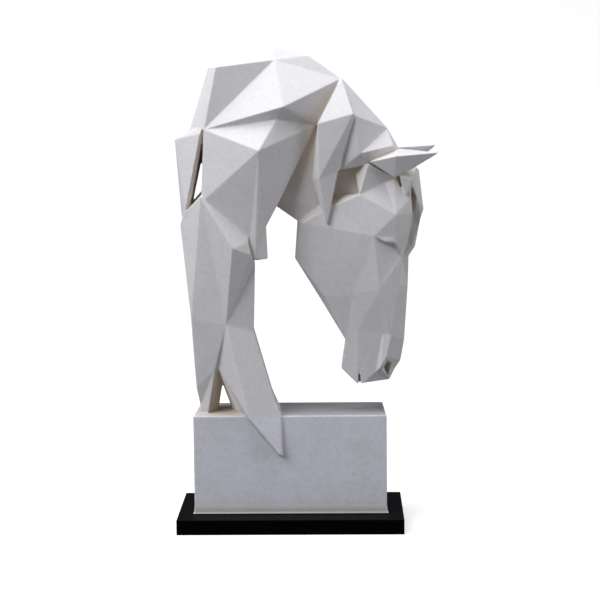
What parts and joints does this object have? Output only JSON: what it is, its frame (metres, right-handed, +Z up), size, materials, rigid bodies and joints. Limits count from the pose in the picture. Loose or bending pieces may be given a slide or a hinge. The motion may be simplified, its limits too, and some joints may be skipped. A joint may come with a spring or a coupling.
{
  "type": "faceted horse statue",
  "caption": "Faceted, folded-paper style horse that bows its head over the block it is cast with, standing on a flat rectangular plate; a table or shelf sculpture.",
  "frame": {"origin": "middle of the plate's underside", "axes": "+X from the horse's hind side to its nose, -Y is the front that faces the viewer, +Z up"},
  "size_m": [0.279, 0.13, 0.5083],
  "materials": {
    "white_resin": "matte cast resin",
    "black_lacquer": "satin black lacquer"
  },
  "bodies": {
    "root": {"horse_and_block": "white_resin", "base_plate": "black_lacquer"}
  },
  "joints": []
}
